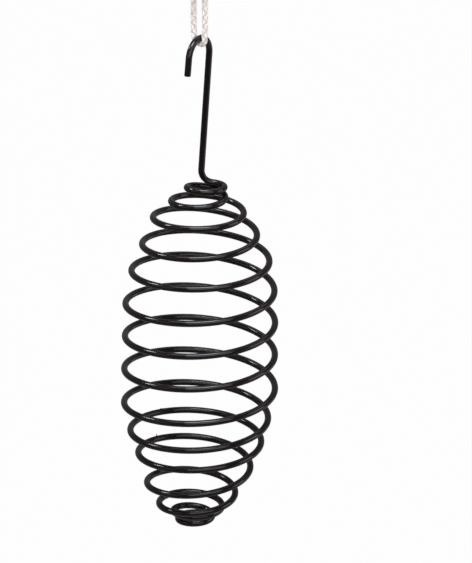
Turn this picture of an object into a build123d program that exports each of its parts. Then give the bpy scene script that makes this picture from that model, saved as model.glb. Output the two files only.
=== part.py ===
from build123d import *
from itertools import accumulate
from math import ceil, cos, floor, pi, radians, sin, tan
import os

os.makedirs("parts", exist_ok=True)

# A feeder for suet balls, bent from one length of wire, hanging by its hook in a
# doubled cord. Lengths are in millimetres and angles in degrees. +Z is up, the
# origin is the seat inside the top of the cord's hanging eye, and the hook is bent
# in the XZ plane with its stem on the +X side.

# The wire, and how far its cut ends are rounded
wire_diameter = 4.0
cut_end_round = 0.6

# Hook and stem: the crook is a little wider on its tip's side than on its stem's.
# Both radii are to the centre of the wire.
crook_tip_radius = 11.8
crook_stem_radius = 11.1
tip_length = 11.5
tip_splay = 8.2
stem_length = 79.3
stem_lean = 2.6
stem_sway = 2.7

# Coil: its widest turn and its steepest half turn. It starts this far below the
# crook, this far round from +X, and winds clockwise seen from above. Its turns are
# counted from there: the foot of the stem joins it at the first and it ends at the
# last. Its axis leans out of the plumb line towards the lean heading.
coil_radius = 49.0
half_turn_drop = 12.5
coil_first_turn = 0.11
coil_last_turn = 15.0
coil_depth = 99.8
coil_start_angle = -10.0
coil_lean = 1.3
coil_lean_heading = 125.0
coil_offset_x = -0.7
coil_offset_y = 0.0

# Radius after every half turn, as shares of the widest
radius_shares = (
    0.30, 0.21, 0.26, 0.38, 0.50, 0.62, 0.70, 0.75, 0.87, 0.90, 0.95,
    0.98, 0.98, 0.98, 0.99, 0.98, 1.00, 0.99, 0.93, 0.90, 0.85,
    0.80, 0.71, 0.69, 0.52, 0.52, 0.36, 0.32, 0.23, 0.21, 0.34,
)

# Drop in every half turn, as shares of the steepest
drop_shares = (
    -0.07, 0.40, 0.33, 0.51, 0.32, 0.81, 0.65, 0.77, 0.64, 0.90,
    0.88, 0.88, 0.90, 0.86, 0.94, 0.89, 0.97, 0.74, 0.84, 0.53,
    0.70, 0.62, 1.00, 0.54, 0.68, 0.24, 0.24, 0.32, 0.22, 0.22,
)

# Cord: the gap is what the wire turns in, where the cord carries it. The bight's
# corners each turn it by this angle.
cord_diameter = 4.0
cord_gap = 0.3
strand_length = 34.0
bight_turn = 45.0

# Knot: a barrel of wraps that bulge from its waist. The waist's flat ends reach
# past the cords that run into them by the rim.
knot_wraps = 3
knot_height = 12.9
knot_bulge = 1.9
knot_rim = 0.4

# Eye: inside width, inside height above the knot, the gap between its ends at the
# knot, and how far its straight runs go before they turn
eye_width = 23.0
eye_height = 41.0
eye_end_gap = 0.6
eye_neck_height = 12.0
eye_shoulder_height = 11.4
eye_top_width = 11.2

# Biarcs in a turn of the coil, samples in a turn when its gap is measured, and the
# share of a cord's run that each of its arcs takes up
quarters = 4
gap_steps = 48
run_share = 0.45

wire_radius = wire_diameter / 2
cord_radius = cord_diameter / 2
crook_height = -(eye_height + knot_height + strand_length)
crook_top = Vector(0, 0, crook_height)


def smooth_share(shares, place):
    """The share at any place along a list, on a cubic through its values."""
    ends = (2 * shares[0] - shares[1], *shares, 2 * shares[-1] - shares[-2])
    first = min(max(int(place), 0), len(shares) - 2)
    before, here, there, after = ends[first : first + 4]
    way = place - first
    return (
        here * (1 + 2 * way) * (1 - way) ** 2
        + there * (3 - 2 * way) * way**2
        + (there - before) / 2 * way * (1 - way) ** 2
        - (after - here) / 2 * way**2 * (1 - way)
    )


# The coil's own frame: its axis crosses the middle of its height
fallen_shares = (0, *accumulate(drop_shares))
coil_half_height = half_turn_drop * fallen_shares[-1] / 2
lean_way = Vector(cos(radians(coil_lean_heading)), sin(radians(coil_lean_heading)), 0)
coil_axis = Vector(0, 0, cos(radians(coil_lean))) - lean_way * sin(radians(coil_lean))
coil_frame = Plane(
    origin=crook_top + Vector(coil_offset_x, coil_offset_y, -coil_depth - coil_half_height),
    x_dir=(cos(radians(coil_start_angle)), sin(radians(coil_start_angle)), 0),
    z_dir=coil_axis,
)


def coil_point(turn):
    """Centre of the wire at a turn, counted from the top of the coil."""
    radius = coil_radius * smooth_share(radius_shares, 2 * turn)
    fallen = half_turn_drop * smooth_share(fallen_shares, 2 * turn)
    angle = -2 * pi * turn
    local = Vector(radius * cos(angle), radius * sin(angle), coil_half_height - fallen)
    return coil_frame.from_local_coords(local)


def coil_heading(turn):
    """Direction the wire runs in there, from two points close beside it."""
    step = 1 / quarters / gap_steps
    return (coil_point(turn + step) - coil_point(turn - step)).normalized()


def add_biarc(start, heading, end, end_heading):
    """Two arcs from point to point that keep both headings and meet smoothly."""
    across = end - start
    both = heading + end_heading
    spread = 2 * (1 - heading.dot(end_heading))
    root = (across.dot(both) ** 2 + spread * across.dot(across)) ** 0.5
    reach = (root - across.dot(both)) / spread
    near = start + heading * reach
    far = end - end_heading * reach
    middle = (near + far) / 2
    return (
        TangentArc(start, middle, tangent=heading),
        TangentArc(middle, end, tangent=far - near),
    )


def bend_radii(route):
    """Arc radius at each corner of a cord's route, as large as its runs allow."""
    points = [Vector(*point) for point in route]
    radii = []
    for before, corner, after in zip(points, points[1:], points[2:]):
        arriving = corner - before
        leaving = after - corner
        shorter = min(arriving.length, leaving.length)
        half_turn = radians(arriving.get_angle(leaving)) / 2
        radii.append(run_share * shorter / tan(half_turn))
    return radii


# Feeder wire: tip, crook, stem, foot and coil, swept as one unbroken tube
splay = radians(tip_splay)
lean = radians(stem_lean)
tip_bend = crook_top + Vector(-cos(splay), 0, sin(splay) - 1) * crook_tip_radius
stem_bend = crook_top + Vector(cos(lean), 0, -sin(lean) - 1) * crook_stem_radius
tip_way = Vector(-sin(splay), 0, -cos(splay))
stem_way = Vector(-sin(lean), tan(radians(stem_sway)), -cos(lean)).normalized()
tip_end = tip_bend + tip_way * tip_length
stem_end = stem_bend + stem_way * stem_length
whole_steps = range(floor(coil_first_turn * quarters) + 1, ceil(coil_last_turn * quarters))
coil_stations = [coil_first_turn, *(step / quarters for step in whole_steps), coil_last_turn]

with BuildPart() as feeder_wire:
    with BuildLine() as wire_line:
        Line(tip_end, tip_bend)
        TangentArc(tip_bend, crook_top, tangent=-tip_way)
        TangentArc(crook_top, stem_bend, tangent=Vector(1, 0, 0))
        stem = Line(stem_bend, stem_end)
        foot = add_biarc(
            stem_end,
            stem_way,
            coil_point(coil_first_turn),
            coil_heading(coil_first_turn),
        )
        for turn, next_turn in zip(coil_stations, coil_stations[1:]):
            add_biarc(
                coil_point(turn),
                coil_heading(turn),
                coil_point(next_turn),
                coil_heading(next_turn),
            )
    with BuildSketch(Plane(origin=tip_end, z_dir=-tip_way)):
        Circle(wire_radius)
    sweep(path=wire_line.wires()[0])
    cut_ends = feeder_wire.faces().filter_by(GeomType.PLANE)
    fillet(cut_ends.edges(), cut_end_round)
feeder_wire.part.label = "feeder_wire"
export_step(feeder_wire.part, "parts/feeder_wire.step")

# Cord sling: both strands and the bight that passes under the crook. Its route and
# the eye's are in the YZ plane, and the bight's corners lie round the wire.
strand_offset = wire_radius + cord_gap + cord_radius
bight_corner = strand_offset * tan(radians(bight_turn) / 2)
knot_foot = crook_height + strand_length
sling_route = [
    (-strand_offset, knot_foot),
    (-strand_offset, crook_height - bight_corner),
    (-bight_corner, crook_height - strand_offset),
    (bight_corner, crook_height - strand_offset),
    (strand_offset, crook_height - bight_corner),
    (strand_offset, knot_foot),
]
sling_radii = bend_radii(sling_route)

with BuildPart() as cord_sling:
    with BuildLine(Plane.YZ) as sling_line:
        FilletPolyline(*sling_route, radius=sling_radii)
    with BuildSketch(Plane(origin=sling_line.line @ 0, z_dir=sling_line.line % 0)):
        Circle(cord_radius)
    sweep(path=sling_line.wires()[0])
cord_sling.part.label = "cord_sling"
export_step(cord_sling.part, "parts/cord_sling.step")

# Cord knot: its wraps are half-round ridges round a flat-ended core
knot_top = knot_foot + knot_height
knot_waist_radius = strand_offset + cord_radius + knot_rim
wrap_height = knot_height / knot_wraps

with BuildPart() as cord_knot:
    with BuildSketch(Plane.XZ):
        with BuildLine():
            Line((0, knot_foot), (knot_waist_radius, knot_foot))
            for wrap in range(knot_wraps):
                under = knot_foot + wrap * wrap_height
                ThreePointArc(
                    (knot_waist_radius, under),
                    (knot_waist_radius + knot_bulge, under + wrap_height / 2),
                    (knot_waist_radius, under + wrap_height),
                )
            Line((knot_waist_radius, knot_top), (0, knot_top))
            Line((0, knot_top), (0, knot_foot))
        make_face()
    revolve(axis=Axis.Z)
cord_knot.part.label = "cord_knot"
export_step(cord_knot.part, "parts/cord_knot.step")

# Cord eye: the loop above the knot that the whole feeder hangs from
eye_side = eye_width / 2 + cord_radius
eye_foot = eye_end_gap / 2 + cord_radius
eye_crown = eye_top_width / 2
shoulder_drop = eye_side - eye_crown
half_eye_route = [
    (eye_foot, knot_top),
    (eye_foot, knot_top + eye_neck_height),
    (eye_side, cord_radius - shoulder_drop - eye_shoulder_height),
    (eye_side, cord_radius - shoulder_drop),
    (eye_crown, cord_radius),
]
eye_route = [(-across, height) for across, height in half_eye_route] + half_eye_route[::-1]
eye_radii = bend_radii(eye_route)

with BuildPart() as cord_eye:
    with BuildLine(Plane.YZ) as eye_line:
        FilletPolyline(*eye_route, radius=eye_radii)
    with BuildSketch(Plane(origin=eye_line.line @ 0, z_dir=eye_line.line % 0)):
        Circle(cord_radius)
    sweep(path=eye_line.wires()[0])
cord_eye.part.label = "cord_eye"
export_step(cord_eye.part, "parts/cord_eye.step")

# What the coil leaves to itself: the least distance between points of the wire that
# lie over a third of a turn apart, less one wire. The stem and foot likewise.
third_turn = gap_steps // 3
turn_count = coil_last_turn - coil_first_turn
turn_samples = [step / gap_steps for step in range(int(turn_count * gap_steps) + 1)]
coil_points = [coil_point(coil_first_turn + turn) for turn in turn_samples]
upper_points = [piece @ (step / gap_steps) for piece in (stem, *foot) for step in range(gap_steps)]
least_in_coil = min(
    (here - there).length
    for place, here in enumerate(coil_points)
    for there in coil_points[place + third_turn :]
)
least_above = min(
    (here - there).length
    for here in upper_points
    for there in coil_points[third_turn:]
)
print("coil's least gap to itself, mm:", round(least_in_coil - wire_diameter, 2))
print("stem and foot's least gap to the coil, mm:", round(least_above - wire_diameter, 2))
bends = [edge.radius for edge in wire_line.edges().filter_by(GeomType.CIRCLE)]
print("tightest bends of the wire, mm:", [round(bend, 1) for bend in sorted(bends)[:4]])
print("wire length, mm:", round(wire_line.wires()[0].length))
print("sling's bend radii, mm:", [round(radius, 1) for radius in sling_radii])
print("eye's bend radii, mm:", [round(radius, 1) for radius in eye_radii])
for cord, line in ((cord_sling, sling_line), (cord_eye, eye_line), (feeder_wire, wire_line)):
    section = pi * (wire_radius if cord is feeder_wire else cord_radius) ** 2
    share = cord.part.volume / (section * line.wires()[0].length)
    print(cord.part.label, "volume over section times length:", round(share, 4))
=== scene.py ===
import math

import bpy
import numpy as np
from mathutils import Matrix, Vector


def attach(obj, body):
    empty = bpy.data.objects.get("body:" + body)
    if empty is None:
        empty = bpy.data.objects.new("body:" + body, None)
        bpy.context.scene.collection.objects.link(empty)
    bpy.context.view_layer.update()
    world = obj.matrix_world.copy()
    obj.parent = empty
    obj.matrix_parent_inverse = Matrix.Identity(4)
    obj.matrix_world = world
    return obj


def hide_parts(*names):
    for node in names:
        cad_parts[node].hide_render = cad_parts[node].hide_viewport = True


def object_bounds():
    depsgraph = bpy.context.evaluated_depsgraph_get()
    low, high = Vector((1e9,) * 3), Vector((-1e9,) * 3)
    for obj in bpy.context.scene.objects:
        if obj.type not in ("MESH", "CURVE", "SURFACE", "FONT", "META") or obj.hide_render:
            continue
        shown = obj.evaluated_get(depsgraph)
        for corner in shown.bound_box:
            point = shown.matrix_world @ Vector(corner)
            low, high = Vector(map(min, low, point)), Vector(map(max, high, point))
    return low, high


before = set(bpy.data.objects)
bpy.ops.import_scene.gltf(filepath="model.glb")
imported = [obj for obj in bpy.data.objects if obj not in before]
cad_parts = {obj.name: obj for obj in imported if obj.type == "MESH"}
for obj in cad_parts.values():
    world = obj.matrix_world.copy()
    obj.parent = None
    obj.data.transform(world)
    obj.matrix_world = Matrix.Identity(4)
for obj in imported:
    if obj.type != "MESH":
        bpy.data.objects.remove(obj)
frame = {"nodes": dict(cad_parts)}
cadBox = [list(corner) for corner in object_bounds()]
scene = bpy.context.scene
scene.view_settings.view_transform = "Standard"
mm = 0.001
print("frame loaded:", ", ".join(frame["nodes"]))


# Sizes that pieces share, in millimetres. The origin is the seat in the top of the
# cord's eye, and the crook of the hook hangs straight below it.
shared = {
    "wireDiameter": 4.0,
    "cordDiameter": 4.0,
    "cordGap": 0.3,
    "strandLength": 34.0,
    "knotHeight": 12.9,
    "eyeHeight": 41.0,
}
crookHeight = -(shared["eyeHeight"] + shared["knotHeight"] + shared["strandLength"])
knotFoot = crookHeight + shared["strandLength"]
knotTop = knotFoot + shared["knotHeight"]
wireRadius = shared["wireDiameter"] / 2
cordRadius = shared["cordDiameter"] / 2
strandOffset = wireRadius + shared["cordGap"] + cordRadius


# The camera stands where the photograph was taken from: far off, with a long lens
cameraSetting = {
    "azimuth": -56.0,
    "elevation": 20.7,
    "distance": 3696.35,
    "focalPixels": 5867.0,
    "imageHeight": 563,
    "sensor": 36.0,
    "viewEnd": 100000.0,
    "targetRight": 23.1,     # from the crook's top, along the picture's own sides
    "targetUp": -153.07,
}


def wayOut(azimuth, elevation):
    # From the object towards that bearing and that height, both in radians
    return Vector((
        math.sin(azimuth) * math.cos(elevation),
        -math.cos(azimuth) * math.cos(elevation),
        math.sin(elevation),
    ))


def placeCamera(setting):
    azimuth = math.radians(setting["azimuth"])
    right = Vector((math.cos(azimuth), math.sin(azimuth), 0))
    back = wayOut(azimuth, math.radians(setting["elevation"]))
    up = back.cross(right)
    crookTop = Vector((0, 0, crookHeight))
    target = crookTop + right * setting["targetRight"] + up * setting["targetUp"]
    camera = bpy.data.objects.new("photoCamera", bpy.data.cameras.new("photoCamera"))
    scene.collection.objects.link(camera)
    camera.data.sensor_width = setting["sensor"]
    camera.data.lens = setting["sensor"] * setting["focalPixels"] / setting["imageHeight"]
    camera.data.clip_end = setting["viewEnd"] * mm
    camera.location = (target + back * setting["distance"]) * mm
    camera.rotation_euler = (-back).to_track_quat("-Z", "Y").to_euler()
    scene.camera = camera


placeCamera(cameraSetting)
print("camera placed")


def toLinear(hexColour):
    # sRGB hex to linear light, with the curve's straight foot below 0.04045
    parts = [int(hexColour[i:i + 2], 16) / 255 for i in (1, 3, 5)]
    return [c / 12.92 if c <= 0.04045 else ((c + 0.055) / 1.055) ** 2.4 for c in parts] + [1.0]


def addNode(tree, kind, settings, links):
    # Settings go to a property, or to an input socket by its name or number. Links go
    # to an input socket in the same way, each with the output that feeds it.
    node = tree.nodes.new(kind)
    for key, value in settings.items():
        if isinstance(key, str) and key not in node.inputs:
            setattr(node, key, value)
        else:
            node.inputs[key].default_value = value
    for key, output in links.items():
        tree.links.new(output, node.inputs[key])
    return node


def newMaterial(name):
    material = bpy.data.materials.new(name)
    material.use_nodes = True
    material.node_tree.nodes.clear()
    return material, material.node_tree


def unit(vectors):
    return vectors / np.linalg.norm(vectors, axis=-1, keepdims=True)


def smoothStep(share):
    # Three times the square less twice the cube, level at 0 and at 1
    share = np.clip(share, 0, 1)
    return share ** 2 * (3 - 2 * share)


def lengthAlong(line):
    # How far along the line each of its points lies
    return np.concatenate([[0], np.cumsum(np.linalg.norm(np.diff(line, axis=0), axis=1))])


def pointsAt(places, along, line):
    return np.stack([np.interp(places, along, line[:, axis]) for axis in range(3)], -1)


def evenly(line, step):
    along = lengthAlong(line)
    places = np.linspace(0, along[-1], int(along[-1] / step) + 1)
    return pointsAt(places, along, line)


def framesAlong(points, reference):
    # Tangent by differences, first side = tangent cross reference, second side =
    # tangent cross first side: no twist where the reference changes slowly
    tangent = unit(np.gradient(points, axis=0))
    side = unit(np.cross(tangent, reference))
    return side, np.cross(tangent, side)


def roundAngles(count):
    return np.linspace(0, 2 * np.pi, count, endpoint=False)


def unitRings(side, across, turn):
    # Circles of radius 1: cosine along the first side, sine along the second
    return np.cos(turn)[:, None] * side[:, None] + np.sin(turn)[:, None] * across[:, None]


def addTubes(name, rings, uv, body, nodes, reach=None):
    # rings has the shape (tubes, steps, sides, 3): each step's points go round its
    # tube, neighbouring steps are joined by four-sided faces, and each end closes on
    # one point in its middle. uv has the shape (tubes, steps, sides + 1, 2), and reach
    # is how far each ring point stands out, from 0 on the line to 1 on the outline.
    tubes, steps, sides, _ = rings.shape
    points = np.concatenate([
        rings.reshape(-1, 3), rings[:, 0].mean(axis=1), rings[:, -1].mean(axis=1),
    ])
    perTube = steps * sides
    tube, step, side = np.meshgrid(
        np.arange(tubes), np.arange(steps - 1), np.arange(sides), indexing="ij"
    )
    nextSide = (side + 1) % sides
    here = tube * perTube + step * sides
    there = here + sides
    quads = np.stack([here + side, here + nextSide, there + nextSide, there + side], -1)
    quadUv = np.stack([
        uv[:, :-1, :-1], uv[:, :-1, 1:], uv[:, 1:, 1:], uv[:, 1:, :-1],
    ], -2)
    fanTube, fanSide = np.meshgrid(np.arange(tubes), np.arange(sides), indexing="ij")
    fanNext = (fanSide + 1) % sides
    startPole = tubes * perTube + fanTube
    endPole = startPole + tubes
    first = fanTube * perTube
    last = first + (steps - 1) * sides
    fans = np.concatenate([
        np.stack([startPole, first + fanNext, first + fanSide], -1).reshape(-1, 3),
        np.stack([endPole, last + fanSide, last + fanNext], -1).reshape(-1, 3),
    ])
    startUv, endUv = uv[:, 0], uv[:, -1]
    fanUv = np.concatenate([
        np.stack([startUv[:, :-1], startUv[:, 1:], startUv[:, :-1]], -2),
        np.stack([endUv[:, :-1], endUv[:, :-1], endUv[:, 1:]], -2),
    ])
    mesh = bpy.data.meshes.new(name)
    faces = quads.reshape(-1, 4).tolist() + fans.tolist()
    mesh.from_pydata((points * mm).tolist(), [], faces)
    layer = mesh.uv_layers.new(name="alongAndRound")
    layer.data.foreach_set("uv", np.concatenate([quadUv.reshape(-1), fanUv.reshape(-1)]))
    if reach is not None:
        poles = np.zeros(2 * tubes)
        layer = mesh.attributes.new("reach", "FLOAT", "POINT")
        layer.data.foreach_set("value", np.concatenate([reach.reshape(-1), poles]))
    mesh.shade_smooth()
    mesh.validate()
    piece = bpy.data.objects.new(name, mesh)
    scene.collection.objects.link(piece)
    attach(piece, body)
    if nodes:
        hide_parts(*nodes)
    return piece


# The cord's routes repeat the solids' routes. They lie in the YZ plane, each as
# (y, z), and stay smooth NURBS splines with those points as control points.
bight = {
    "bend": 45.0,             # degrees turned at each corner, before pull and hug
    "pull": 0.9,              # the load draws the bight to the nearer strand
    "hug": 0.8,               # and presses it up against the wire
    "press": 0.12,            # which takes this share of its thickness
    "strandMark": 24.0,       # a point on each straight strand, this far above the bight
}
bightCorner = strandOffset * math.tan(math.radians(bight["bend"]) / 2)
bightTop = crookHeight - bightCorner
bightLow = crookHeight - strandOffset + bight["hug"]
strandRoute = [
    (-strandOffset, knotFoot),
    (-strandOffset, bightTop + bight["strandMark"]),
    (-strandOffset, bightTop),
    (-bightCorner - bight["pull"], bightLow),
    (bightCorner - bight["pull"], bightLow),
    (strandOffset, bightTop),
    (strandOffset, bightTop + bight["strandMark"]),
    (strandOffset, knotFoot),
]
eyeFoot = 2.3
eyeMark = 12.0                # a point on each foot of the eye, above the knot
eyeRoute = [
    (-eyeFoot, knotTop),
    (-eyeFoot, knotTop + eyeMark),
    (-13.5, -17.3),
    (-13.5, -5.9),
    (-5.6, 2.0),
    (5.6, 2.0),
    (13.5, -5.9),
    (13.5, -17.3),
    (eyeFoot, knotTop + eyeMark),
    (eyeFoot, knotTop),
]
splineOrder = 3
splineSteps = 32              # between two control points


def readSpline(name, route):
    # The spline's own line, as Blender gives it, in millimetres
    curve = bpy.data.curves.new(name, "CURVE")
    curve.dimensions = "3D"
    curve.resolution_u = splineSteps
    spline = curve.splines.new("NURBS")
    spline.points.add(len(route) - 1)
    for point, (y, z) in zip(spline.points, route):
        point.co = (0, y * mm, z * mm, 1)
    spline.order_u = splineOrder
    spline.use_endpoint_u = True
    holder = bpy.data.objects.new(name, curve)
    mesh = bpy.data.meshes.new_from_object(holder)
    line = np.array([vertex.co for vertex in mesh.vertices]) / mm
    bpy.data.meshes.remove(mesh)
    bpy.data.curves.remove(curve)
    return line


# Round braid of six flat strands over a core
braid = {
    "strandsEachWay": 3,
    "lay": 17.4,              # one strand's climb in a full turn about the cord
    "middleRadius": 1.32,     # where the strands run on average
    "weave": 0.21,            # how far they pass over and under that
    "flatness": 1.3,          # more keeps a strand on top for longer
    "strandWidth": 1.95,
    "strandThickness": 1.0,
    "coreRadius": 1.45,
    "uneven": 0.18,           # the tension isn't quite the same from pick to pick
    "unevenRun": 11.0,        # mm from one slack place of a strand to its next
    "unevenSpread": 2.4,      # sets the strands' slack places apart
    "faceTwist": 1.57,        # turns the chevrons of the strands and the eye to the camera
    "step": 0.36,
    "sides": 10,
}


def braidRings(line, reference, setting, twist=0.0, pressed=None):
    # Strand k of one hand winds by +2 pi u / lay and one of the other hand by
    # -2 pi u / lay. Both hands ride tanh(flatness x cosine) in radius, one over while
    # the other is under, with one crossing every lay / (2 x strands each way).
    side, across = framesAlong(line, reference)
    along = lengthAlong(line)
    count = setting["strandsEachWay"]
    hand = np.repeat([1.0, -1.0], count)[:, None]
    start = np.tile(np.arange(count) * 2 * np.pi / count, 2)[:, None]
    angle = hand * 2 * np.pi * along / setting["lay"] + start + twist
    picks = np.cos(2 * np.pi * count * along / setting["lay"])
    wave = hand * np.tanh(setting["flatness"] * picks)
    slackAngle = 2 * np.pi * along / setting["unevenRun"] + setting["unevenSpread"] * start * hand
    slack = 1 + setting["uneven"] * np.sin(slackAngle)
    radius = setting["middleRadius"] + setting["weave"] * wave * slack
    outward = np.cos(angle)[..., None] * side + np.sin(angle)[..., None] * across
    centre = line + radius[..., None] * outward
    way = unit(np.gradient(centre, axis=1))
    lift = unit(outward - (outward * way).sum(-1, keepdims=True) * way)
    flat = np.cross(way, lift)
    turn = roundAngles(setting["sides"])
    thick = setting["strandThickness"] / 2 * np.cos(turn)[:, None]
    wide = setting["strandWidth"] / 2 * np.sin(turn)[:, None]
    rings = centre[:, :, None] + thick * lift[:, :, None] + wide * flat[:, :, None]
    core = line[:, None] + setting["coreRadius"] * unitRings(side, across, turn)
    rings = np.concatenate([rings, core[None]])
    if pressed is not None:
        # Where the cord is pressed flat, it is thinner along its side by that share
        thickness = ((rings - line[:, None]) * side[:, None]).sum(-1, keepdims=True)
        rings = rings - pressed[:, None, None] * thickness * side[:, None]
    reach = np.linalg.norm(rings - line[:, None], axis=-1) / cordRadius
    # Along the cord by its length, and round each tube by 1, one tube after another
    around = np.linspace(0, 1, setting["sides"] + 1) + np.arange(len(rings))[:, None, None]
    u, v = np.broadcast_arrays(along[None, :, None], around)
    return rings, np.stack([u, v], -1), reach


acrossPlane = np.array([1.0, 0.0, 0.0])     # the routes lie in the YZ plane
strandLine = evenly(readSpline("strandRoute", strandRoute), braid["step"])
eyeLine = evenly(readSpline("eyeRoute", eyeRoute), braid["step"])

# The bight is flattest under the hook's wire and round again above it
bightDepth = (crookHeight - strandLine[:, 2]) / strandOffset
pressed = bight["press"] * np.clip(bightDepth, 0, 1)
strandRings, strandUv, strandReach = braidRings(
    strandLine, acrossPlane, braid, braid["faceTwist"], pressed
)
strandPiece = addTubes(
    "cordStrands", strandRings, strandUv, "cord", ["cord_sling"], strandReach
)
eyeRings, eyeUv, eyeReach = braidRings(eyeLine, acrossPlane, braid, braid["faceTwist"])
eyePiece = addTubes("cordEye", eyeRings, eyeUv, "cord", ["cord_eye"], eyeReach)
print("cord braided:", len(strandLine), "and", len(eyeLine), "steps")


# Knot: the cord wound round its own two parts, with both ends tucked inside
knot = {
    "radius": 6.6,
    "turns": 2.3,
    "rise": 4.0,              # in each turn
    "tuckTurns": 0.18,        # over which each end runs inwards
    "tuckRadius": 3.2,
    "startAngle": 200.0,
    "wrapCount": 900,         # points on the rough line of the wraps
    "crossCount": 80,         # and of each strand through the core
    "overrun": 0.2,           # how far the core stands out of the knot at each end
}


def knotLine(setting):
    # A helix whose radius falls to the tuck's at both ends by a smooth step
    turn = np.linspace(
        -setting["tuckTurns"], setting["turns"] + setting["tuckTurns"], setting["wrapCount"]
    )
    ease = smoothStep(np.maximum(-turn, turn - setting["turns"]) / setting["tuckTurns"])
    radius = setting["radius"] + (setting["tuckRadius"] - setting["radius"]) * ease
    angle = 2 * np.pi * turn + math.radians(setting["startAngle"])
    climb = setting["rise"] * np.clip(turn, 0, setting["turns"])
    middle = (knotFoot + knotTop) / 2 - setting["rise"] * setting["turns"] / 2
    return np.stack([radius * np.cos(angle), radius * np.sin(angle), middle + climb], -1)


wrapLine = evenly(knotLine(knot), braid["step"])
upright = np.array([0.0, 0.0, 1.0])
wrapRings, wrapUv, wrapReach = braidRings(wrapLine, upright, braid)
wrapPiece = addTubes(
    "cordKnot", wrapRings, wrapUv, "cord", ["cord_knot"], wrapReach
)


def crossLine(setting, hand):
    # Inside the knot each strand runs over to its foot of the eye on a smooth step
    share = np.linspace(0, 1, setting["crossCount"])
    y = hand * (strandOffset + (eyeFoot - strandOffset) * smoothStep(share))
    z = knotFoot - setting["overrun"] + (knotTop - knotFoot + 2 * setting["overrun"]) * share
    return np.stack([0 * share, y, z], -1)


coreLines = [evenly(crossLine(knot, hand), braid["step"]) for hand in (-1, 1)]
coreParts = [braidRings(line, acrossPlane, braid) for line in coreLines]
corePiece = addTubes(
    "cordKnotCore",
    np.concatenate([rings for rings, _, _ in coreParts]),
    np.concatenate([uv for _, uv, _ in coreParts]),
    "cord", [],
    np.concatenate([reach for _, _, reach in coreParts]),
)
print("knot wound")

cordLengths = [round(lengthAlong(line)[-1] * mm, 4) for line in (strandLine, eyeLine)]
print("cord lengths, m:", *cordLengths)


# The feeder: one bent wire, from the hook's tip to the coil's end
feeder = {
    "crookTipRadius": 11.8,
    "crookStemRadius": 11.1,
    "tipLength": 11.5,
    "tipSplay": 8.2,
    "stemLength": 79.3,
    "stemLean": 2.6,
    "stemSway": 2.7,
    "coilRadius": 49.0,
    "halfTurnDrop": 12.5,
    "coilFirstTurn": 0.11,
    "coilLastTurn": 15.0,
    "coilDepth": 99.8,
    "coilStartAngle": -10.0,
    "coilLean": 1.3,
    "coilLeanHeading": 125.0,
    "coilOffset": (-0.7, 0.0),
    "radiusShares": (         # after every half turn, of the widest
        0.30, 0.21, 0.26, 0.38, 0.50, 0.62, 0.70, 0.75, 0.87, 0.90, 0.95,
        0.98, 0.98, 0.98, 0.99, 0.98, 1.00, 0.99, 0.93, 0.90, 0.85,
        0.80, 0.71, 0.69, 0.52, 0.52, 0.36, 0.32, 0.23, 0.21, 0.34,
    ),
    "dropShares": (           # in every half turn, of the steepest
        -0.07, 0.40, 0.33, 0.51, 0.32, 0.81, 0.65, 0.77, 0.64, 0.90,
        0.88, 0.88, 0.90, 0.86, 0.94, 0.89, 0.97, 0.74, 0.84, 0.53,
        0.70, 0.62, 1.00, 0.54, 0.68, 0.24, 0.24, 0.32, 0.22, 0.22,
    ),
    "crookCount": 61,         # points on the rough line: on the crook,
    "runCount": 30,           # on the tip and on the stem,
    "arcCount": 40,           # on each of the foot's two arcs
    "coilCount": 6000,        # and on the coil
    "coatBuild": 0.1,         # the coating's thickness, outside the bare wire
    "endRound": 0.6,
    "endRings": 6,            # in the round of each end
    "swapLead": 5,            # the rings' reference changes from this many points
    "swapTail": 4,            # before the foot to this many after it
    "step": 1.5,
    "sides": 24,
}


def smoothShare(shares, places):
    # Cubic through the values, with slopes from each value's neighbours
    ends = np.concatenate([[2 * shares[0] - shares[1]], shares, [2 * shares[-1] - shares[-2]]])
    first = np.clip(places.astype(int), 0, len(shares) - 2)
    before, here, there, after = (ends[first + i] for i in range(4))
    way = places - first
    return (
        here * (1 + 2 * way) * (1 - way) ** 2
        + there * (3 - 2 * way) * way ** 2
        + (there - before) / 2 * way * (1 - way) ** 2
        - (after - here) / 2 * way ** 2 * (1 - way)
    )


def coilPoints(turns, setting):
    # Helix with a varying radius and drop, clockwise seen from above, about an axis
    # that leans a little out of the plumb line
    fallenShares = np.concatenate([[0], np.cumsum(setting["dropShares"])])
    radius = setting["coilRadius"] * smoothShare(np.array(setting["radiusShares"]), 2 * turns)
    fallen = setting["halfTurnDrop"] * smoothShare(fallenShares, 2 * turns)
    halfHeight = setting["halfTurnDrop"] * fallenShares[-1] / 2
    lean = math.radians(setting["coilLean"])
    heading = math.radians(setting["coilLeanHeading"])
    start = math.radians(setting["coilStartAngle"])
    axis = np.array([
        -math.cos(heading) * math.sin(lean),
        -math.sin(heading) * math.sin(lean),
        math.cos(lean),
    ])
    sideways = unit(np.cross(axis, [math.cos(start), math.sin(start), 0]))
    forwards = np.cross(sideways, axis)
    middle = np.array([*setting["coilOffset"], crookHeight - setting["coilDepth"] - halfHeight])
    angle = -2 * np.pi * turns
    return (
        middle
        + (radius * np.cos(angle))[:, None] * forwards
        + (radius * np.sin(angle))[:, None] * sideways
        + (halfHeight - fallen)[:, None] * axis
    )


def arcPoints(start, heading, end, count):
    # Circle through both ends that leaves the start along its heading
    chord = end - start
    length = np.linalg.norm(chord)
    chordWay = chord / length
    half = math.acos(np.clip(heading @ chordWay, -1, 1))
    inward = unit(chordWay - math.cos(half) * heading)
    radius = length / (2 * math.sin(half))
    sweep = np.linspace(0, 2 * half, count)[:, None]
    return start + radius * (np.sin(sweep) * heading + (1 - np.cos(sweep)) * inward)


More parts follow.
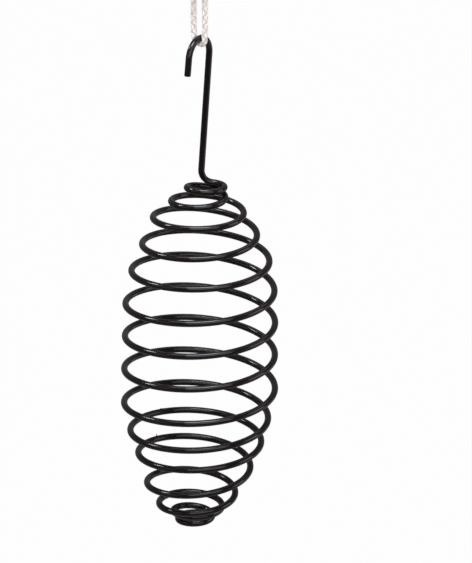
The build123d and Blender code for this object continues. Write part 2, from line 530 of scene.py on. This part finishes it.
def biarcPoints(start, heading, end, endHeading, count):
    # Two arcs that keep both headings and meet smoothly
    across = end - start
    both = heading + endHeading
    spread = 2 * (1 - heading @ endHeading)
    root = math.sqrt((across @ both) ** 2 + spread * (across @ across))
    reach = (root - across @ both) / spread
    near = start + heading * reach
    far = end - endHeading * reach
    middle = (near + far) / 2
    first = arcPoints(start, heading, middle, count)
    second = arcPoints(middle, unit(far - near), end, count)
    return np.concatenate([first, second[1:]])


def straightPoints(start, end, count):
    return start + (end - start) * np.linspace(0, 1, count)[:, None]


def wireLine(setting):
    # Tip, an arc each side of the crook's top, stem, foot and coil, one after another.
    # Each starts on the last point of the one before, and that point is kept once.
    splay = math.radians(setting["tipSplay"])
    lean = math.radians(setting["stemLean"])
    sway = math.tan(math.radians(setting["stemSway"]))
    sweep = np.linspace(-math.pi / 2 + splay, math.pi / 2 + lean, setting["crookCount"])
    radius = np.where(sweep < 0, setting["crookTipRadius"], setting["crookStemRadius"])
    crook = np.stack([
        radius * np.sin(sweep), 0 * sweep, crookHeight - radius * (1 - np.cos(sweep)),
    ], -1)
    tipEnd = crook[0] + setting["tipLength"] * np.array([-math.sin(splay), 0, -math.cos(splay)])
    stemWay = unit(np.array([-math.sin(lean), sway, -math.cos(lean)]))
    stemEnd = crook[-1] + stemWay * setting["stemLength"]
    turns = np.linspace(setting["coilFirstTurn"], setting["coilLastTurn"], setting["coilCount"])
    coil = coilPoints(turns, setting)
    coilWay = unit(coil[1] - coil[0])
    tip = straightPoints(tipEnd, crook[0], setting["runCount"])
    stem = straightPoints(crook[-1], stemEnd, setting["runCount"])
    foot = biarcPoints(stemEnd, stemWay, coil[0], coilWay, setting["arcCount"])
    footFirst = len(tip) + len(crook[1:]) + len(stem[1:]) - 1
    footLast = footFirst + len(foot[1:])
    line = np.concatenate([tip, crook[1:], stem[1:], foot[1:], coil[1:]])
    return line, footFirst, footLast


def wireRings(setting):
    rough, footFirst, footLast = wireLine(setting)
    along = lengthAlong(rough)
    whole = along[-1]
    endRound = setting["endRound"]
    # Steps are shorter in the rounded ends, whose rings follow a quarter circle
    quarter = np.linspace(0, np.pi / 2, setting["endRings"])
    roundIn = endRound * (1 - np.cos(quarter))
    between = np.linspace(endRound, whole - endRound, int(whole / setting["step"]))[1:-1]
    places = np.concatenate([roundIn, between, whole - roundIn[::-1]])
    edge = endRound * (1 - np.sin(quarter))
    radii = np.full(len(places), wireRadius + setting["coatBuild"])
    radii[:len(edge)] -= edge
    radii[-len(edge):] -= edge[::-1]
    line = pointsAt(places, along, rough)
    # The reference turns from +Y to +Z on a smooth step over the foot
    swapStart = along[footFirst - setting["swapLead"]]
    swapEnd = along[footLast + setting["swapTail"]]
    ease = smoothStep((places - swapStart) / (swapEnd - swapStart))[:, None]
    reference = (1 - ease) * np.array([0.0, 1.0, 0.0]) + ease * upright
    side, across = framesAlong(line, reference)
    ring = unitRings(side, across, roundAngles(setting["sides"]))
    rings = line[:, None] + radii[:, None, None] * ring
    u, v = np.broadcast_arrays(places[:, None], np.linspace(0, 1, setting["sides"] + 1))
    return rings[None], np.stack([u, v], -1)[None]


feederRings, feederUv = wireRings(feeder)
feederPiece = addTubes(
    "coatedWire", feederRings, feederUv, "feeder", ["feeder_wire"]
)
print("wire bent:", feederRings.shape[1], "rings")


# Two burrs on the lower turns, where the coating stood up and set
burrs = {
    "places": (2467.3, 2712.5),     # along the wire from the hook's tip
    "heights": (0.35, 1.6),         # over the wire's top
    "widths": (2.2, 1.0),
    "lean": 0.3,
    "taper": 0.7,
    "topShare": 0.98,               # each stops just short of its point
    "footShare": 0.9,               # of the wire's radius: each starts inside the wire
    "clearShare": 0.2,              # of the wire's radius, which is added to each height
    "rows": 5,
    "sides": 10,
}


def burrRings(setting, line, along):
    # A cone that stands on the wire's upper side, of radius width / 2 x (1 - t)^taper
    # at the share t of its height, and leans over as it rises
    foot = pointsAt(np.array(setting["places"]), along, line)
    share = np.linspace(0, setting["topShare"], setting["rows"])
    height = np.array(setting["heights"])[:, None] + wireRadius * setting["clearShare"]
    rise = share * height + wireRadius * setting["footShare"]
    radius = np.array(setting["widths"])[:, None] / 2 * (1 - share) ** setting["taper"]
    turn = roundAngles(setting["sides"])
    lean = setting["lean"] * share[:, None]
    x = foot[:, 0, None, None] + radius[..., None] * np.cos(turn) + lean
    y = foot[:, 1, None, None] + radius[..., None] * np.sin(turn)
    z = np.broadcast_to((foot[:, 2, None] + rise)[..., None], x.shape)
    uv = np.zeros((len(foot), setting["rows"], setting["sides"] + 1, 2))
    return np.stack([x, y, z], -1), uv


smallRings, smallUv = burrRings(burrs, feederRings[0].mean(axis=1), feederUv[0, :, 0, 0])
burrPiece = addTubes("coatBurrs", smallRings, smallUv, "feeder", [])
print("burrs added")


# Powder coating on steel wire: sprayed dry polyester, fused in an oven. It flows to a
# semi-gloss skin with a faint orange peel, so its highlights are sharp and slightly
# uneven.
coating = {
    "colour": "#110b0d",
    "roughness": (0.09, 0.16),      # in the hollows of the peel and on its swells
    "peelRange": (0.3, 0.7),        # of the noise, over which the roughness changes
    "ior": 1.43,
    "peel": 1.4,                    # mm between the peel's swells
    "peelDetail": 2.0,
    "peelHeight": 0.005,
    "grain": 0.6,                   # mm, drawn coarser than the real grain so that it shows
    "grainDetail": 1.0,
    "grainHeight": 0.0004,
}


def coatedSteel(setting):
    material, tree = newMaterial("blackPowderCoat")
    place = addNode(tree, "ShaderNodeTexCoord", {}, {}).outputs["Object"]
    peel = addNode(tree, "ShaderNodeTexNoise", {
        "Scale": 1 / (setting["peel"] * mm), "Detail": setting["peelDetail"],
    }, {"Vector": place})
    grain = addNode(tree, "ShaderNodeTexNoise", {
        "Scale": 1 / (setting["grain"] * mm), "Detail": setting["grainDetail"],
    }, {"Vector": place})
    swell = addNode(tree, "ShaderNodeBump", {
        "Strength": 1.0, "Distance": setting["peelHeight"] * mm,
    }, {"Height": peel.outputs["Fac"]})
    skin = addNode(tree, "ShaderNodeBump", {
        "Strength": 1.0, "Distance": setting["grainHeight"] * mm,
    }, {"Height": grain.outputs["Fac"], "Normal": swell.outputs["Normal"]})
    gloss = addNode(tree, "ShaderNodeMapRange", {
        "From Min": setting["peelRange"][0], "From Max": setting["peelRange"][1],
        "To Min": setting["roughness"][0], "To Max": setting["roughness"][1],
    }, {"Value": peel.outputs["Fac"]})
    shader = addNode(tree, "ShaderNodeBsdfPrincipled", {
        "Base Color": toLinear(setting["colour"]), "IOR": setting["ior"],
    }, {"Roughness": gloss.outputs["Result"], "Normal": skin.outputs["Normal"]})
    addNode(tree, "ShaderNodeOutputMaterial", {}, {"Surface": shader.outputs["BSDF"]})
    return material


# Braided polypropylene cord: bright white filament yarn, laid flat in each strand. The yarn's
# colour carries painted light: the light colour is a painted highlight where a strand lies
# uppermost, and the beige is painted shade in the hollows between the strands, set by how far
# each point stands out.
yarn = {
    # light is the painted highlight colour on the crests, shade the painted shade colour in the
    # hollows
    "light": "#fbf7f1",
    "shade": "#f3ece3",
    # Painted shade at and below hollow, painted highlight at and above crest, by reach
    "hollow": 0.66,                 # reach at which the yarn is all shade
    "crest": 0.98,                  # and all light
    "roughness": 0.36,
    "ior": 1.49,
    "sheen": 0.25,
    "sheenRoughness": 0.4,
    "filament": 0.2,                # mm between filaments, drawn coarser than they are
    "filamentHeight": 0.03,
    "filamentRun": 0.9,             # swells of the noise in each mm along a filament
    "filamentDetail": 1.0,
    "strandGirth": 5.0,             # mm round a strand
    "wornRange": (0.3, 0.6),        # of the noise, over which a filament grows light
    "wornLight": 0.75,              # what the darkest filament keeps of the light's share
}


def braidedYarn(setting):
    material, tree = newMaterial("whiteBraidedYarn")
    uv = addNode(tree, "ShaderNodeUVMap", {"uv_map": "alongAndRound"}, {}).outputs["UV"]
    filaments = setting["strandGirth"] / setting["filament"]
    lines = addNode(tree, "ShaderNodeMapping", {
        "Scale": (setting["filamentRun"], filaments, 1.0),
    }, {"Vector": uv})
    threads = addNode(tree, "ShaderNodeTexNoise", {
        "Scale": 1.0, "Detail": setting["filamentDetail"],
    }, {"Vector": lines.outputs["Vector"]})
    # Painted light and shade: the colour runs from the painted shade of the hollows to the
    # painted highlight of the crests by reach, times a random tone per filament
    reach = addNode(tree, "ShaderNodeAttribute", {"attribute_name": "reach"}, {})
    height = addNode(tree, "ShaderNodeMapRange", {
        "From Min": setting["hollow"], "From Max": setting["crest"],
    }, {"Value": reach.outputs["Fac"]})
    worn = addNode(tree, "ShaderNodeMapRange", {
        "From Min": setting["wornRange"][0], "From Max": setting["wornRange"][1],
        "To Min": setting["wornLight"],
    }, {"Value": threads.outputs["Fac"]})
    blend = addNode(tree, "ShaderNodeMath", {"operation": "MULTIPLY"}, {
        0: height.outputs["Result"], 1: worn.outputs["Result"],
    })
    colour = addNode(tree, "ShaderNodeMix", {
        "data_type": "RGBA", 6: toLinear(setting["shade"]), 7: toLinear(setting["light"]),
    }, {"Factor": blend.outputs["Value"]})
    bump = addNode(tree, "ShaderNodeBump", {
        "Strength": 1.0, "Distance": setting["filamentHeight"] * mm,
    }, {"Height": threads.outputs["Fac"]})
    shader = addNode(tree, "ShaderNodeBsdfPrincipled", {
        "Roughness": setting["roughness"], "IOR": setting["ior"],
        "Sheen Weight": setting["sheen"], "Sheen Roughness": setting["sheenRoughness"],
    }, {"Base Color": colour.outputs[2], "Normal": bump.outputs["Normal"]})
    addNode(tree, "ShaderNodeOutputMaterial", {}, {"Surface": shader.outputs["BSDF"]})
    return material


coatMaterial = coatedSteel(coating)
yarnMaterial = braidedYarn(yarn)
for piece in (feederPiece, burrPiece):
    piece.data.materials.append(coatMaterial)
for piece in (strandPiece, eyePiece, wrapPiece, corePiece):
    piece.data.materials.append(yarnMaterial)
print("materials made")


# Pale floor well below the feeder, and soft studio light. The camera, and any gloss or
# clear thing, sees the shares of plain white that stand here in floor and world.
studio = {
    "floorDrop": 2200.0,      # mm below the coil's foot
    "floorSize": 40000.0,
    "floorColour": "#d9d8d6",
    "floorWhite": 0.985,      # the rest is the floor's own light and the shadow on it
    "glossWhite": 0.05,       # a satin black coat shows little of the white about it
    "worldColour": "#fff8f8",
    "worldStrength": 0.16,
    "lampAim": 0.4,           # share of the way from the object's low corner to its high one
}


def seenWhite(tree, cameraShare, glossShare):
    # Camera and transmission rays get the first share of white, glossy rays the second
    path = addNode(tree, "ShaderNodeLightPath", {}, {})
    straight = addNode(tree, "ShaderNodeMath", {"operation": "MAXIMUM"}, {
        0: path.outputs["Is Camera Ray"], 1: path.outputs["Is Transmission Ray"],
    })
    seen = addNode(tree, "ShaderNodeMath", {"operation": "MULTIPLY", 1: cameraShare}, {
        0: straight.outputs["Value"],
    })
    share = addNode(tree, "ShaderNodeMath", {"operation": "MULTIPLY_ADD", 1: glossShare}, {
        0: path.outputs["Is Glossy Ray"], 2: seen.outputs["Value"],
    })
    return share.outputs["Value"]


def paleFloor(setting, lowest):
    half = setting["floorSize"] / 2 * mm
    height = lowest - setting["floorDrop"] * mm
    corners = [(x * half, y * half, height) for x, y in ((-1, -1), (1, -1), (1, 1), (-1, 1))]
    mesh = bpy.data.meshes.new("paleFloor")
    mesh.from_pydata(corners, [], [(0, 1, 2, 3)])
    floor = bpy.data.objects.new("paleFloor", mesh)
    scene.collection.objects.link(floor)
    material, tree = newMaterial("paleFloor")
    matt = addNode(tree, "ShaderNodeBsdfDiffuse", {"Color": toLinear(setting["floorColour"])}, {})
    white = addNode(tree, "ShaderNodeEmission", {"Strength": 1.0}, {})
    mix = addNode(tree, "ShaderNodeMixShader", {}, {
        0: seenWhite(tree, setting["floorWhite"], setting["glossWhite"]),
        1: matt.outputs["BSDF"], 2: white.outputs["Emission"],
    })
    addNode(tree, "ShaderNodeOutputMaterial", {}, {"Surface": mix.outputs["Shader"]})
    mesh.materials.append(material)


def softWorld(setting):
    world = bpy.data.worlds.new("softWorld")
    world.use_nodes = True
    tree = world.node_tree
    tree.nodes.clear()
    ambient = addNode(tree, "ShaderNodeBackground", {
        "Color": toLinear(setting["worldColour"]), "Strength": setting["worldStrength"],
    }, {})
    white = addNode(tree, "ShaderNodeBackground", {"Color": (1, 1, 1, 1), "Strength": 1.0}, {})
    mix = addNode(tree, "ShaderNodeMixShader", {}, {
        0: seenWhite(tree, 1.0, setting["glossWhite"]),
        1: ambient.outputs["Background"], 2: white.outputs["Background"],
    })
    addNode(tree, "ShaderNodeOutputWorld", {}, {"Surface": mix.outputs["Shader"]})
    scene.world = world


# Each lamp: bearing from the camera's side (positive to its right) and height above
# the horizon in degrees, distance, width and height in mm, power in watts, colour
lampKeys = ("bearing", "height", "distance", "wide", "tall", "power", "colour")
lamps = {
    "topBox": (-8, 75, 1500, 760, 620, 15.5, "#eaeeff"),
    "topHalo": (-10, 75, 1520, 1700, 700, 11.0, "#eaeeff"),
    "leftSpot": (-100, 40, 1800, 240, 420, 8.8, "#ffffff"),
    "frontSheet": (12, 27, 2600, 3200, 1900, 36.0, "#fff8f6"),
    "rightSheet": (88, 12, 2200, 1100, 1100, 7.4, "#fff6f4"),
    "lowSheet": (100, -20, 2200, 3200, 800, 4.4, "#fff6f4"),
    "leftSheet": (-62, 15, 2200, 1300, 1100, 2.4, "#fff6f4"),
    "backSheet": (165, 58, 2600, 3200, 1600, 11.0, "#fff8f4"),
}


def placeLamps(table, aimShare):
    aim = Vector(cadBox[0]).lerp(Vector(cadBox[1]), aimShare)
    for name, row in table.items():
        setting = dict(zip(lampKeys, row))
        azimuth = math.radians(cameraSetting["azimuth"] + setting["bearing"])
        way = wayOut(azimuth, math.radians(setting["height"]))
        light = bpy.data.lights.new(name, "AREA")
        light.shape = "RECTANGLE"
        light.size = setting["wide"] * mm
        light.size_y = setting["tall"] * mm
        light.energy = setting["power"]
        light.color = toLinear(setting["colour"])[:3]
        lamp = bpy.data.objects.new(name, light)
        scene.collection.objects.link(lamp)
        lamp.location = aim + way * setting["distance"] * mm
        lamp.rotation_euler = way.to_track_quat("Z", "Y").to_euler()


paleFloor(studio, cadBox[0][2])
softWorld(studio)
placeLamps(lamps, studio["lampAim"])
print("studio lit")
